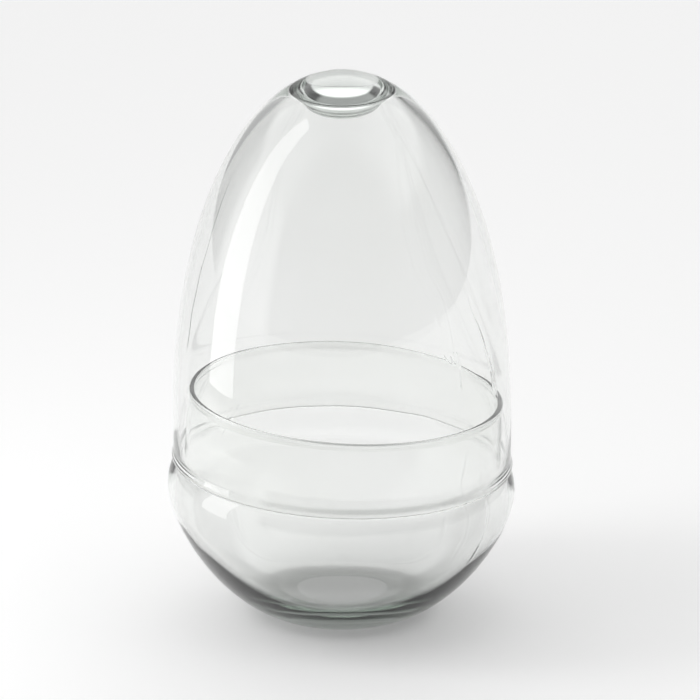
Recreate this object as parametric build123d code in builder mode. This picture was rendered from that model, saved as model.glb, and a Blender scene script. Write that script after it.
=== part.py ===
from build123d import *
import os

# Two-piece blown-glass cloche: a round-bottomed bowl and the egg-shaped dome that rests on it.
#
# The bowl holds the soil.  Its shoulder draws in to a collar that keeps the dome centred, so the
# dome lifts straight off.  A thick drop of glass hangs inside the dome's crown.
#
# Millimetres, +Z up, origin at the centre of the bowl's foot.

# ---------------------------------------------------------------- driving dimensions

# bowl, outside
foot_radius = 33.0             # flat that the bowl stands on
foot_spread = 44.0             # how far the bottom runs out nearly level
belly_radius = 116.5           # widest ring of the whole object
belly_height = 87.5
belly_rise = 25.0              # how upright the side is below the widest ring
shoulder_rise = 20.6           # how upright it is above the widest ring
shoulder_fall = 20.0           # and where it has drawn in to the collar
collar_foot_radius = 105.3
collar_foot = 124.0
collar_radius = 103.7          # the collar narrows a little towards its rim
collar_top = 155.0
collar_wall = 3.0
collar_bead_radius = 2.0       # rounded, slightly swollen rim
collar_taper = 8.0             # length over which the collar leans in, at its foot
collar_upright = 10.0          # and below its rim
flare_length = 4.0             # the wall swells into the rim over this height

# bowl, inside
belly_wall = 3.2
belly_round = 30.0             # how far down the inside stays upright
floor_thickness = 12.0
floor_radius = 46.0            # level part of the floor
floor_round = 26.0             # how wide the floor's edge curves up

# dome, outside
dome_radius = 113.2            # nearly straight wall above the rim
dome_top = 376.5
dome_upright = 46.0            # the four lengths that shape the egg
egg_swell = 4.0
egg_shoulder = 107.0
crown_spread = 70.4
bead_radius = 2.0              # rounded, slightly swollen rim
bead_ring_radius = 112.4       # radius of the ring that the bead's centre follows
bead_height = 107.75
wall_start = 115.75            # the bead has faded into the wall here
bead_swell = 3.0
wall_settle = 4.0

# dome, inside
dome_wall = 2.6
drop_radius = 29.0             # solid drop of glass under the crown
drop_tip = 346.0
drop_depth = 13.0
drop_belly = 19.0              # how wide the drop's underside stays nearly level
groove_fillet = 3.0            # rounded groove between the drop and the wall
groove_turn = 138.0            # degrees the surface turns through in the groove
crown_run = 21.0               # the inside leaves the groove straight for about this long
inside_swell = 6.6
inside_shoulder = 66.0
inside_upright = 10.0

os.makedirs("parts", exist_ok=True)

# ---------------------------------------------------------------- bowl

bead_centre_radius = collar_radius - collar_wall / 2
collar_bead_height = collar_top - collar_bead_radius
flare_foot = collar_bead_height - flare_length
flare_middle = collar_bead_height - flare_length / 2
collar_bend = collar_bead_height - collar_upright
inner_collar_radius = collar_radius - collar_wall
inner_foot_radius = collar_foot_radius - collar_wall
inner_belly_radius = belly_radius - belly_wall

with BuildPart() as bowl:
    with BuildSketch(Plane.XZ):
        with BuildLine():
            foot = Line((0, 0), (foot_radius, 0))
            belly = Bezier(
                foot @ 1,
                (foot_radius + foot_spread, 0),
                (belly_radius, belly_height - belly_rise),
                (belly_radius, belly_height),
            )
            shoulder = Bezier(
                belly @ 1,
                (belly_radius, belly_height + shoulder_rise),
                (collar_foot_radius, collar_foot - shoulder_fall),
                (collar_foot_radius, collar_foot),
            )
            collar = Bezier(
                shoulder @ 1,
                (collar_foot_radius, collar_foot + collar_taper),
                (collar_radius, collar_bend),
                (collar_radius, flare_foot),
            )
            flare = Bezier(
                collar @ 1,
                (collar_radius, flare_middle),
                (bead_centre_radius + collar_bead_radius, flare_middle),
                (bead_centre_radius + collar_bead_radius, collar_bead_height),
            )
            rim = ThreePointArc(
                flare @ 1,
                (bead_centre_radius, collar_top),
                (bead_centre_radius - collar_bead_radius, collar_bead_height),
            )
            inner_flare = Bezier(
                rim @ 1,
                (bead_centre_radius - collar_bead_radius, flare_middle),
                (inner_collar_radius, flare_middle),
                (inner_collar_radius, flare_foot),
            )
            inner_collar = Bezier(
                inner_flare @ 1,
                (inner_collar_radius, collar_bend),
                (inner_foot_radius, collar_foot + collar_taper),
                (inner_foot_radius, collar_foot),
            )
            inner_shoulder = Bezier(
                inner_collar @ 1,
                (inner_foot_radius, collar_foot - shoulder_fall),
                (inner_belly_radius, belly_height + shoulder_rise),
                (inner_belly_radius, belly_height),
            )
            inner_belly = Bezier(
                inner_shoulder @ 1,
                (inner_belly_radius, belly_height - belly_round),
                (floor_radius + floor_round, floor_thickness),
                (floor_radius, floor_thickness),
            )
            floor = Line(inner_belly @ 1, (0, floor_thickness))
            Line(floor @ 1, foot @ 0)
        make_face()
    revolve(axis=Axis.Z)

bowl.part.label = "bowl"
export_step(bowl.part, "parts/bowl.step")

# ---------------------------------------------------------------- dome

inner_dome_radius = dome_radius - dome_wall
bead_outer_radius = bead_ring_radius + bead_radius
bead_inner_radius = bead_ring_radius - bead_radius

with BuildPart() as dome:
    with BuildSketch(Plane.XZ):
        with BuildLine():
            rim = ThreePointArc(
                (bead_inner_radius, bead_height),
                (bead_ring_radius, bead_height - bead_radius),
                (bead_outer_radius, bead_height),
            )
            outer_flare = Bezier(
                rim @ 1,
                (bead_outer_radius, bead_height + bead_swell),
                (dome_radius, bead_height + wall_settle),
                (dome_radius, wall_start),
            )
            outside = Bezier(
                outer_flare @ 1,
                (dome_radius, wall_start + dome_upright),
                (dome_radius + egg_swell, dome_top - egg_shoulder),
                (crown_spread, dome_top),
                (0, dome_top),
            )
            core = Line(outside @ 1, (0, drop_tip))
            drop = Bezier(
                core @ 1,
                (drop_belly, drop_tip),
                (drop_radius, drop_tip + drop_depth / 2),
                (drop_radius, drop_tip + drop_depth),
            )
            groove = JernArc(drop @ 1, tangent=drop % 1, radius=groove_fillet, arc_size=-groove_turn)
            inside = Bezier(
                groove @ 1,
                groove @ 1 + (groove % 1) * crown_run,
                (dome_radius + inside_swell, dome_top - inside_shoulder),
                (inner_dome_radius, wall_start + inside_upright),
                (inner_dome_radius, wall_start),
            )
            Bezier(
                inside @ 1,
                (inner_dome_radius, bead_height + wall_settle),
                (bead_inner_radius, bead_height + bead_swell),
                rim @ 0,
            )
        make_face()
    revolve(axis=Axis.Z)

dome.part.label = "dome"
export_step(dome.part, "parts/dome.step")
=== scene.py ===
"""Looks of the two-piece blown-glass cloche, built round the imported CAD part.  Metres, +Z up."""

import math

import bpy
import numpy as np
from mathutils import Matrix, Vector, noise


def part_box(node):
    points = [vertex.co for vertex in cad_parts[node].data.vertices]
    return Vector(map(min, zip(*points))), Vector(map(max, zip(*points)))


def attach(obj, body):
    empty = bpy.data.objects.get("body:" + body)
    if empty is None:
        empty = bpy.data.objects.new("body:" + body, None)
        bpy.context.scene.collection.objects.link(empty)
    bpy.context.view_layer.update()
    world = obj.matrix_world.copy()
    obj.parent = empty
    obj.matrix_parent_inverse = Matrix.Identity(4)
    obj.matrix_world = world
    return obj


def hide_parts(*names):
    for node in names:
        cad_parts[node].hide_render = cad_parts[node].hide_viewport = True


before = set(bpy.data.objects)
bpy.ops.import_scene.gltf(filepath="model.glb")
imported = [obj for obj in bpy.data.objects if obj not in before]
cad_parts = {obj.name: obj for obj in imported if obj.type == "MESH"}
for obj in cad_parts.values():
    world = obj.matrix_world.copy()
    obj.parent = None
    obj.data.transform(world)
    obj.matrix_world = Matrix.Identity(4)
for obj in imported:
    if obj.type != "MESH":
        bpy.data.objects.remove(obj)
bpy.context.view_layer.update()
bowl_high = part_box("bowl")[1]
dome_low, dome_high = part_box("dome")

# ---------------------------------------------------------------- sizes

MM = 0.001

# bowl, outside
foot_radius = 33.0 * MM
foot_spread = 44.0 * MM         # how far the bottom runs out nearly level
belly_radius = bowl_high.x      # widest ring of the whole object
belly_height = 87.5 * MM
belly_rise = 25.0 * MM          # how upright the side is below the widest ring
shoulder_rise = 20.6 * MM       # and above it
shoulder_fall = 20.0 * MM       # how upright it is again at the collar
collar_foot_radius = belly_radius - 11.2 * MM
collar_foot = 124.0 * MM
collar_radius = belly_radius - 12.8 * MM
collar_top = bowl_high.z
collar_wall = 3.0 * MM
collar_bead = 2.0 * MM          # radius of the rounded rim
collar_taper = 8.0 * MM         # length over which the collar leans in, at its foot
collar_upright = 10.0 * MM      # and below its rim
flare_length = 4.0 * MM         # the wall swells into the rim over this height

# bowl, inside
belly_wall = 3.2 * MM
belly_round = 30.0 * MM         # how far down the inside stays upright
floor_thickness = 12.0 * MM
floor_radius = 46.0 * MM        # level part of the floor
floor_round = 26.0 * MM         # how wide the floor's edge curves up

# dome, outside
dome_radius = belly_radius - 3.3 * MM
dome_top = dome_high.z
dome_upright = 46.0 * MM        # the four lengths that shape the egg
egg_swell = 4.0 * MM
egg_shoulder = 107.0 * MM
crown_spread = 70.4 * MM
seat_height = dome_low.z        # where the dome stands on the bowl's shoulder
bead_radius = 2.0 * MM
bead_ring_radius = belly_radius - 4.1 * MM
bead_height = dome_low.z + bead_radius
wall_start = bead_height + 8.0 * MM
bead_swell = 3.0 * MM
wall_settle = 4.0 * MM

# dome, inside
dome_wall = 2.6 * MM
drop_radius = 29.0 * MM         # solid drop of glass under the crown
drop_tip = dome_top - 30.5 * MM
drop_depth = 13.0 * MM
drop_belly = 19.0 * MM
groove_fillet = 3.0 * MM
groove_turn = 138.0             # degrees that the surface turns through in the groove
crown_run = 21.0 * MM
inside_swell = 6.6 * MM
inside_shoulder = 66.0 * MM
inside_upright = 10.0 * MM

# how the bowl and the dome's rim lean, as the blown pieces do
LEAN_SEAT = math.radians(2.0)
LEAN_RIM = math.radians(3.0)
LEAN_START = 45.0 * MM
DOME_STRAIGHT = 240.0 * MM

# fineness of the meshes
RINGS = 30                      # rings of each round cap
CAP_SIDES = 8                   # each ring of a cap has this many points more than the one inside it
COLUMNS = CAP_SIDES * RINGS
CAP = 15.0 * MM
STEP = 2.1 * MM
BEND_STEP = math.radians(6.0)
CURVE = 600                     # points along a curve before they are spread out
LONG_CURVE = 1200
SHORT_CURVE = 60

# waves of the hand-blown surfaces: length and height of each kind, stretched upwards
RIPPLES = ((60 * MM, 0.35 * MM), (26 * MM, 0.06 * MM))
RIPPLE_TALL = 1.8
RIPPLE_CLEAR = (3.0 * MM, 16.0 * MM)
FOOT_CLEAR = 25.0 * MM
SIDE_SEED = 7.3                 # the inside's waves differ from the outside's
BOWL_SEED = 1.7
DOME_SEED = 4.9

# ---------------------------------------------------------------- outlines


def bezier(*points, count=CURVE):
    t = np.linspace(0.0, 1.0, count + 1)[:, None]
    n = len(points) - 1
    terms = (math.comb(n, i) * (1 - t) ** (n - i) * t**i * np.array(p, float) for i, p in enumerate(points))
    return sum(terms)


def arc(centre, radius, start, end):
    a = np.radians(np.linspace(start, end, SHORT_CURVE + 1))
    return np.stack([centre[0] + radius * np.cos(a), centre[1] + radius * np.sin(a)], 1)


def chain(*parts):
    return np.vstack([parts[0]] + [p[1:] for p in parts[1:]])


def spread(line):
    """Points along a line at about STEP from each other, closer where it bends."""
    d = np.diff(line, axis=0)
    length = np.hypot(d[:, 0], d[:, 1])
    bend = np.abs(np.gradient(np.unwrap(np.arctan2(d[:, 1], d[:, 0]))))
    s = np.concatenate([[0.0], np.cumsum(length / STEP + bend / BEND_STEP)])
    count = max(2, int(math.ceil(s[-1])))
    at = np.linspace(0.0, s[-1], count + 1)
    return np.stack([np.interp(at, s, line[:, 0]), np.interp(at, s, line[:, 1])], 1)


def outline(line):
    """A section from axis to axis, with evenly spaced rings in the two caps."""
    radii = np.linspace(0.0, CAP, RINGS + 1)
    first = int(np.argmax(line[:, 0] > CAP))
    last = len(line) - int(np.argmax(line[::-1, 0] > CAP))
    start = np.stack([radii, np.interp(radii, line[: first + 1, 0], line[: first + 1, 1])], 1)
    tail = line[last - 1 :][::-1]
    end = np.stack([radii, np.interp(radii, tail[:, 0], tail[:, 1])], 1)
    middle = np.vstack([start[-1:], line[first:last], end[-1:]])
    return start, spread(middle), end


def bowl_section():
    foot = np.array([(0.0, 0.0), (foot_radius, 0.0)])
    belly = bezier(
        (foot_radius, 0),
        (foot_radius + foot_spread, 0),
        (belly_radius, belly_height - belly_rise),
        (belly_radius, belly_height),
    )
    shoulder = bezier(
        belly[-1],
        (belly_radius, belly_height + shoulder_rise),
        (collar_foot_radius, collar_foot - shoulder_fall),
        (collar_foot_radius, collar_foot),
    )
    bead_centre = (collar_radius - collar_wall / 2, collar_top - collar_bead)
    bead_outer = bead_centre[0] + collar_bead
    collar_bend = bead_centre[1] - collar_upright
    flare_foot = bead_centre[1] - flare_length
    flare_middle = bead_centre[1] - flare_length / 2
    collar = bezier(
        shoulder[-1],
        (collar_foot_radius, collar_foot + collar_taper),
        (collar_radius, collar_bend),
        (collar_radius, flare_foot),
    )
    flare = bezier(
        collar[-1],
        (collar_radius, flare_middle),
        (bead_outer, flare_middle),
        (bead_outer, bead_centre[1]),
        count=SHORT_CURVE,
    )
    rim = arc(bead_centre, collar_bead, 0, 180)
    inner_radius = collar_radius - collar_wall
    inner_flare = bezier(
        rim[-1],
        (rim[-1][0], flare_middle),
        (inner_radius, flare_middle),
        (inner_radius, flare_foot),
        count=SHORT_CURVE,
    )
    inner_foot_radius = collar_foot_radius - collar_wall
    inner_collar = bezier(
        inner_flare[-1],
        (inner_radius, collar_bend),
        (inner_foot_radius, collar_foot + collar_taper),
        (inner_foot_radius, collar_foot),
    )
    inner_belly_radius = belly_radius - belly_wall
    inner_shoulder = bezier(
        inner_collar[-1],
        (inner_foot_radius, collar_foot - shoulder_fall),
        (inner_belly_radius, belly_height + shoulder_rise),
        (inner_belly_radius, belly_height),
    )
    inner_belly = bezier(
        inner_shoulder[-1],
        (inner_belly_radius, belly_height - belly_round),
        (floor_radius + floor_round, floor_thickness),
        (floor_radius, floor_thickness),
    )
    floor = np.array([(floor_radius, floor_thickness), (0.0, floor_thickness)])
    outside = chain(foot, belly, shoulder, collar, flare, rim)
    return chain(outside, inner_flare, inner_collar, inner_shoulder, inner_belly, floor)


def dome_section():
    drop_edge = drop_tip + drop_depth
    drop = bezier(
        (0, drop_tip),
        (drop_belly, drop_tip),
        (drop_radius, drop_tip + drop_depth / 2),
        (drop_radius, drop_edge),
    )
    turned = 180 - groove_turn
    groove = arc((drop_radius + groove_fillet, drop_edge), groove_fillet, 180, turned)
    away = np.array([math.sin(math.radians(turned)), -math.cos(math.radians(turned))])
    inner_radius = dome_radius - dome_wall
    inside = bezier(
        groove[-1],
        groove[-1] + away * crown_run,
        (dome_radius + inside_swell, dome_top - inside_shoulder),
        (inner_radius, wall_start + inside_upright),
        (inner_radius, wall_start),
        count=LONG_CURVE,
    )
    inner_flare = bezier(
        inside[-1],
        (inner_radius, bead_height + wall_settle),
        (bead_ring_radius - bead_radius, bead_height + bead_swell),
        (bead_ring_radius - bead_radius, bead_height),
    )
    rim = arc((bead_ring_radius, bead_height), bead_radius, 180, 360)
    outer_flare = bezier(
        rim[-1],
        (bead_ring_radius + bead_radius, bead_height + bead_swell),
        (dome_radius, bead_height + wall_settle),
        (dome_radius, wall_start),
    )
    outside = bezier(
        outer_flare[-1],
        (dome_radius, wall_start + dome_upright),
        (dome_radius + egg_swell, dome_top - egg_shoulder),
        (crown_spread, dome_top),
        (0, dome_top),
        count=LONG_CURVE,
    )
    return chain(drop, groove, inside, inner_flare, rim, outer_flare, outside)


# ---------------------------------------------------------------- meshes


def cap_points(rings, base):
    """Points of a round cap: each ring has eight more than the last, so they don't crowd at the axis."""
    points, index = [(0.0, rings[0][1], 0.0)], [[base]]
    for k in range(1, RINGS + 1):
        r, z = rings[k]
        count = CAP_SIDES * k
        index.append([base + len(points) + j for j in range(count)])
        points += [(r, z, 2 * math.pi * j / count) for j in range(count)]
    return points, index


def cap_faces(index, flip):
    """Faces between the rings of a cap: quads along its eight sides and a triangle at each corner."""
    ring = index[1]
    faces = [(ring[j], ring[j + 1], ring[(j + 2) % CAP_SIDES], index[0][0]) for j in range(0, CAP_SIDES, 2)]
    for k in range(1, RINGS):
        inner, outer = index[k], index[k + 1]
        for side in range(CAP_SIDES):
            for j in range(k + 1):
                at = side * (k + 1) + j
                o0, o1 = outer[at], outer[(at + 1) % len(outer)]
                i0 = inner[(side * k + j) % len(inner)]
                if j < k:
                    faces.append((o0, o1, inner[(side * k + j + 1) % len(inner)], i0))
                else:
                    faces.append((o0, o1, i0))
    return [f[::-1] for f in faces] if flip else faces


def smooth(value, low, high):
    t = np.clip((value - low) / (high - low), 0.0, 1.0)
    return t * t * (3 - 2 * t)


def ripple(p, side, rim_height, seed):
    """Long, shallow waves, left out at the rims, at the foot and where the two pieces meet."""
    radius = np.hypot(p[:, 0], p[:, 1])
    share = smooth(np.abs(p[:, 2] - seat_height), *RIPPLE_CLEAR)
    share *= smooth(np.abs(p[:, 2] - rim_height), *RIPPLE_CLEAR)
    share *= smooth(p[:, 2], 0.0, FOOT_CLEAR) * smooth(radius, 0.0, CAP)
    wave = np.zeros(len(p))
    for length, height in RIPPLES:
        at = p / (length, length, length * RIPPLE_TALL)
        at[:, 0] += seed + SIDE_SEED * side
        wave += height * np.array([noise.noise(Vector(point)) for point in at])
    out = p.copy()
    out[:, :2] *= (1 + share * wave / np.maximum(radius, MM))[:, None]
    return out


def lean_bowl(p):
    share = smooth(p[:, 2], 0.0, LEAN_START)
    extra = smooth(p[:, 2], seat_height, collar_top)
    angle = LEAN_SEAT * share + (LEAN_RIM - LEAN_SEAT) * extra
    out = p.copy()
    out[:, 2] -= angle * p[:, 0]
    out[:, 0] += angle * (p[:, 2] - seat_height)
    return out


def lean_dome(p):
    share = 1.0 - smooth(p[:, 2], seat_height, DOME_STRAIGHT)
    out = p.copy()
    out[:, 2] -= LEAN_SEAT * share * p[:, 0]
    return out


def blown(name, section, bend, rim_height, seed):
    """A closed glass piece turned from its section, then rippled and bent."""
    start, wall, end = outline(section)
    points, first_index = cap_points(start, 0)
    turn = int(np.argmin(np.abs(wall[:, 1] - rim_height)))
    side = [0] * len(points)        # which of the piece's two surfaces each point is on
    rows = [first_index[-1]]
    for row, (r, z) in enumerate(wall[1:-1], 1):
        rows.append([len(points) + j for j in range(COLUMNS)])
        points += [(r, z, 2 * math.pi * j / COLUMNS) for j in range(COLUMNS)]
        side += [int(row > turn)] * COLUMNS
    last_points, last_index = cap_points(end, len(points))
    points += last_points
    side += [1] * len(last_points)
    rows.append(last_index[-1])
    faces = cap_faces(first_index, True) + cap_faces(last_index, False)
    for lower, upper in zip(rows[:-1], rows[1:]):
        for j in range(COLUMNS):
            k = (j + 1) % COLUMNS
            faces.append((lower[j], lower[k], upper[k], upper[j]))
    p = np.array(points)
    xyz = np.stack([p[:, 0] * np.cos(p[:, 2]), p[:, 0] * np.sin(p[:, 2]), p[:, 1]], 1)
    xyz = bend(ripple(xyz, np.array(side), rim_height, seed))
    mesh = bpy.data.meshes.new(name)
    mesh.from_pydata(xyz.tolist(), [], faces)
    mesh.update()
    mesh.polygons.foreach_set("use_smooth", [True] * len(mesh.polygons))
    piece = bpy.data.objects.new(name, mesh)
    bpy.context.scene.collection.objects.link(piece)
    return piece


bowl_glass = blown("bowl_glass", bowl_section(), lean_bowl, collar_top, BOWL_SEED)
dome_glass = blown("dome_glass", dome_section(), lean_dome, seat_height, DOME_SEED)

# ---------------------------------------------------------------- shader helpers


def node(tree, kind, **settings):
    made = tree.nodes.new(kind)
    for name, value in settings.items():
        setattr(made, name, value)
    return made


def empty_material(name):
    """A new material's tree with nothing in it but the output."""
    made = bpy.data.materials.new(name)
    made.use_nodes = True
    made.node_tree.nodes.clear()
    return made, made.node_tree, node(made.node_tree, "ShaderNodeOutputMaterial")


def map_range(tree, source, edges, low, high, **settings):
    made = node(tree, "ShaderNodeMapRange", **settings)
    made.inputs["From Min"].default_value, made.inputs["From Max"].default_value = edges
    made.inputs["To Min"].default_value, made.inputs["To Max"].default_value = low, high
    tree.links.new(source, made.inputs["Value"])
    return made.outputs[0]


def ramp(tree, source, edges, low=0.0, high=1.0):
    """A smooth step of a value, from low at the first edge to high at the second."""
    return map_range(tree, source, edges, low, high, interpolation_type="SMOOTHSTEP")


def compute(tree, operation, *values):
    """One Math node; each value is a number or another node's output."""
    made = node(tree, "ShaderNodeMath", operation=operation)
    for socket, value in zip(made.inputs, values):
        if isinstance(value, (int, float)):
            socket.default_value = value
        else:
            tree.links.new(value, socket)
    return made.outputs[0]


def combine(tree, operation, found, *others):
    """All the values put together, two at a time, with one operation."""
    for other in others:
        found = compute(tree, operation, found, other)
    return found


def speckle(tree, place, scale, detail=0.0):
    made = node(tree, "ShaderNodeTexNoise")
    made.inputs["Scale"].default_value = scale
    made.inputs["Detail"].default_value = detail
    tree.links.new(place, made.inputs["Vector"])
    return made.outputs["Fac"]


def around(tree, x, y):
    """Compass angle in degrees of a direction."""
    return compute(tree, "MULTIPLY", compute(tree, "ARCTAN2", x, y), 180 / math.pi)


# ---------------------------------------------------------------- glass

GLASS_IOR = 1.5
GLASS_TINT = (0.0, 0.12, 0.03)
BOWL_DENSITY = 9.0
DOME_DENSITY = 5.5
SHADE = ((0.97, 0.975, 0.965, 1), (1.0, 1.0, 1.0, 1))
SHADE_SCALE = 9.0
WIPED = (0.0, 0.012)            # roughness of clean glass and of faint wiping marks
WIPED_SHARE = (0.45, 0.75)
WIPED_SCALE = 22.0
WORN = 0.22                     # roughness of the worn foot
WORN_HEIGHT = (1.2 * MM, 0.2 * MM)
CORD_DEPTH = 0.10 * MM
CORD_FADE = 12                  # length in mm over which a cord fades at each end
CORD_SWAY = 4.0                 # degrees that a cord wanders to each side
CORD_SWAY_SCALE = 22.0
NOISE_MIDDLE = 0.5

# thin cords in the glass: angle round from the front and height in mm at the top,
# then both at the bottom, and half its width in degrees
DOME_CORDS = (
    (24.0, 306, 41.0, 200, 1.3),
    (33.0, 300, 47.0, 175, 0.9),
    (52.0, 250, 66.0, 165, 1.1),
    (-118.0, 300, -104.0, 170, 1.3),
    (150.0, 320, 163.0, 180, 1.2),
)
BOWL_CORDS = (
    (42.0, 148, 30.0, 66, 1.8),
    (51.0, 140, 40.0, 60, 1.4),
    (62.0, 120, 50.0, 56, 2.0),
    (-140.0, 130, -122.0, 60, 1.8),
)


def cord(tree, angle, height, sway, top_angle, top, low_angle, low, width):
    """Height of one thin cord that wanders down the wall."""
    line = map_range(tree, height, (low * MM, top * MM), low_angle, top_angle)
    middle = compute(tree, "ADD", line, sway)
    off = compute(tree, "ABSOLUTE", compute(tree, "SUBTRACT", angle, middle))
    low_end = ramp(tree, height, (low * MM, (low + CORD_FADE) * MM))
    top_end = ramp(tree, height, (top * MM, (top - CORD_FADE) * MM))
    ends = compute(tree, "MULTIPLY", low_end, top_end)
    return compute(tree, "MULTIPLY", ramp(tree, off, (width, 0.0)), ends)


def glass(name, density, cords):
    m, tree, out = empty_material(name)
    shader = node(tree, "ShaderNodeBsdfPrincipled")
    shader.inputs["IOR"].default_value = GLASS_IOR
    shader.inputs["Transmission Weight"].default_value = 1.0
    body = node(tree, "ShaderNodeVolumeAbsorption")
    body.inputs["Color"].default_value = (*GLASS_TINT, 1)
    body.inputs["Density"].default_value = density
    place = node(tree, "ShaderNodeTexCoord").outputs["Object"]
    split = node(tree, "ShaderNodeSeparateXYZ")
    tree.links.new(place, split.inputs[0])
    height = split.outputs["Z"]

    shade = node(tree, "ShaderNodeMix", data_type="RGBA")
    shade.inputs["A"].default_value, shade.inputs["B"].default_value = SHADE
    tree.links.new(speckle(tree, place, SHADE_SCALE), shade.inputs["Factor"])
    tree.links.new(shade.outputs["Result"], shader.inputs["Base Color"])

    wiped = ramp(tree, speckle(tree, place, WIPED_SCALE, detail=1.0), WIPED_SHARE, *WIPED)
    worn = ramp(tree, height, WORN_HEIGHT, 0.0, WORN)
    tree.links.new(compute(tree, "MAXIMUM", wiped, worn), shader.inputs["Roughness"])

    angle = around(tree, split.outputs["X"], compute(tree, "MULTIPLY", split.outputs["Y"], -1.0))
    wander = compute(tree, "SUBTRACT", speckle(tree, place, CORD_SWAY_SCALE, detail=1.0), NOISE_MIDDLE)
    sway = compute(tree, "MULTIPLY", wander, 2 * CORD_SWAY)
    bump = node(tree, "ShaderNodeBump")
    bump.inputs["Distance"].default_value = CORD_DEPTH
    ridges = combine(tree, "MAXIMUM", *[cord(tree, angle, height, sway, *line) for line in cords])
    tree.links.new(ridges, bump.inputs["Height"])
    tree.links.new(bump.outputs["Normal"], shader.inputs["Normal"])

    tree.links.new(shader.outputs["BSDF"], out.inputs["Surface"])
    tree.links.new(body.outputs["Volume"], out.inputs["Volume"])
    return m


bowl_glass.data.materials.append(glass("bowl_glass", BOWL_DENSITY, BOWL_CORDS))
dome_glass.data.materials.append(glass("dome_glass", DOME_DENSITY, DOME_CORDS))
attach(bowl_glass, "bowl")
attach(dome_glass, "dome")
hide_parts("bowl")
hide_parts("dome")

# ---------------------------------------------------------------- floor

FLOOR_HALF = 9.0
FLOOR_CORNERS = ((-1, -1), (1, -1), (1, 1), (-1, 1))
FLOOR_GREY = 0.8
FLOOR_ROUGHNESS = 0.9
FLOOR_GLOW = 0.26               # glow of the evenly lit floor, lowered to a painted shadow where the foot stands on it
FLOOR_PAINTED_SHADOW = 0.15
FLOOR_PAINTED_SHADOW_EDGE = (0.050, 0.072)

floor_mesh = bpy.data.meshes.new("studio_floor")
floor_mesh.from_pydata([(x * FLOOR_HALF, y * FLOOR_HALF, 0) for x, y in FLOOR_CORNERS], [], [(0, 1, 2, 3)])
floor = bpy.data.objects.new("studio_floor", floor_mesh)
bpy.context.scene.collection.objects.link(floor)
paint, tree, out = empty_material("studio_floor")
glow = node(tree, "ShaderNodeBsdfPrincipled")
glow.inputs["Base Color"].default_value = (FLOOR_GREY, FLOOR_GREY, FLOOR_GREY, 1)
glow.inputs["Roughness"].default_value = FLOOR_ROUGHNESS
glow.inputs["Specular IOR Level"].default_value = 0.0
glow.inputs["Emission Color"].default_value = (1, 1, 1, 1)
from_foot = node(tree, "ShaderNodeVectorMath", operation="LENGTH")
tree.links.new(node(tree, "ShaderNodeTexCoord").outputs["Object"], from_foot.inputs[0])
# painted shadow: the floor glows less within a few centimetres of the foot, standing in for the shade under
# the bowl
strength = ramp(tree, from_foot.outputs["Value"], FLOOR_PAINTED_SHADOW_EDGE, FLOOR_PAINTED_SHADOW, FLOOR_GLOW)
tree.links.new(strength, glow.inputs["Emission Strength"])
tree.links.new(glow.outputs[0], out.inputs["Surface"])
floor_mesh.materials.append(paint)

# ---------------------------------------------------------------- light

# The light tent.  Edges across are compass degrees: 0 is behind the object and 90 to its right.
# Edges upwards are the height part of the direction.  TENT_FRONT and TENT_BACK are its depth part.
TENT_GLOW = 0.94
TENT_FOOT = (0.39, 0.52)
TENT_FRONT = (-0.65, -0.25)
TENT_FRONT_SHARE = 0.2
TENT_BACK = (0.45, 0.75)
TENT_BACK_SHARE = 2.0
BACK_GLOW = 0.5
BACK_LEFT = (-46.0, -36.0)
BACK_RIGHT = (34.0, 22.0)
SIDE_GLOW = 1.1
SIDE_LEFT = (-130.0, -120.0)
SIDE_RIGHT = (-64.0, -76.0)
ROOM_GLOW = 0.07

world = bpy.data.worlds.new("studio")
bpy.context.scene.world = world
world.use_nodes = True
tree = world.node_tree
background = tree.nodes["Background"]
background.inputs["Color"].default_value = (1, 1, 1, 1)
split = node(tree, "ShaderNodeSeparateXYZ")
tree.links.new(node(tree, "ShaderNodeTexCoord").outputs["Generated"], split.inputs[0])
depth, height = split.outputs["Y"], split.outputs["Z"]
turned = around(tree, split.outputs["X"], depth)
above = combine(
    tree,
    "MULTIPLY",
    ramp(tree, height, TENT_FOOT, 0.0, TENT_GLOW),
    ramp(tree, depth, TENT_FRONT, TENT_FRONT_SHARE, 1.0),
    ramp(tree, depth, TENT_BACK, 1.0, TENT_BACK_SHARE),
)
below = ramp(tree, height, TENT_FOOT[::-1])
behind = combine(
    tree, "MULTIPLY", ramp(tree, turned, BACK_LEFT, 0.0, BACK_GLOW), ramp(tree, turned, BACK_RIGHT), below
)
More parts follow.
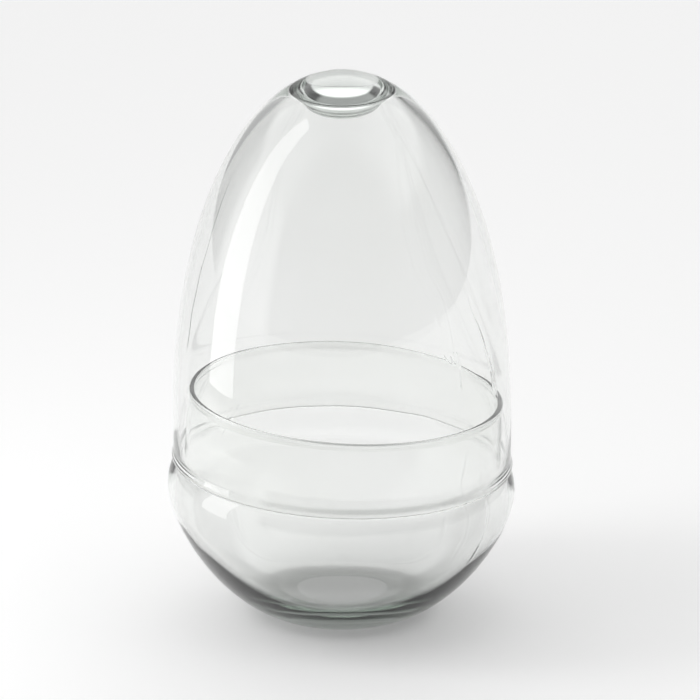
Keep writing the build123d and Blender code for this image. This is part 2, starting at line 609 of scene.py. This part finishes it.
beside = combine(
    tree, "MULTIPLY", ramp(tree, turned, SIDE_LEFT, 0.0, SIDE_GLOW), ramp(tree, turned, SIDE_RIGHT), below
)
lit = combine(tree, "ADD", above, behind, beside)
tree.links.new(compute(tree, "MAXIMUM", lit, ROOM_GLOW), background.inputs["Strength"])

STRIP_SIZE = (0.29, 1.60)
STRIP_PLACE = (-0.75, -0.07, 0.82)
STRIP_AIM = (0, 0, STRIP_PLACE[2])
STRIP_GLOW = 2.7                # brightness of its face

lamp = bpy.data.lights.new("left_strip", "AREA")
lamp.shape = "RECTANGLE"
lamp.size, lamp.size_y = STRIP_SIZE
lamp.energy = math.pi * STRIP_SIZE[0] * STRIP_SIZE[1] * STRIP_GLOW
box = bpy.data.objects.new("left_strip", lamp)
bpy.context.scene.collection.objects.link(box)
box.location = STRIP_PLACE
box.rotation_euler = (Vector(STRIP_AIM) - Vector(STRIP_PLACE)).to_track_quat("-Z", "Y").to_euler()
box.visible_camera = False
box.visible_transmission = False        # it never shows through the glass as a white rectangle

# ---------------------------------------------------------------- camera and render settings

CAMERA_DISTANCE = 4.0
CAMERA_TILT = math.radians(19.3)
SENSOR = 36.0
FIELD = 0.46667                 # width seen at the object
AIM = Vector((0.0052, 0.0, 0.1837))
FAR = 100.0
BOUNCES = 32                    # a ray crosses up to eight glass surfaces, and turns back inside them
GLOSSY_BOUNCES = 16

scene = bpy.context.scene
camera = bpy.data.cameras.new("camera")
camera.sensor_width = SENSOR
camera.lens = SENSOR * CAMERA_DISTANCE / FIELD
camera.clip_end = FAR
eye = bpy.data.objects.new("camera", camera)
scene.collection.objects.link(eye)
eye.location = AIM + CAMERA_DISTANCE * Vector((0.0, -math.cos(CAMERA_TILT), math.sin(CAMERA_TILT)))
eye.rotation_euler = (math.pi / 2 - CAMERA_TILT, 0.0, 0.0)
scene.camera = eye
scene.view_settings.view_transform = "Standard"
scene.cycles.max_bounces = BOUNCES
scene.cycles.transmission_bounces = BOUNCES
scene.cycles.glossy_bounces = GLOSSY_BOUNCES
scene.cycles.transparent_max_bounces = BOUNCES
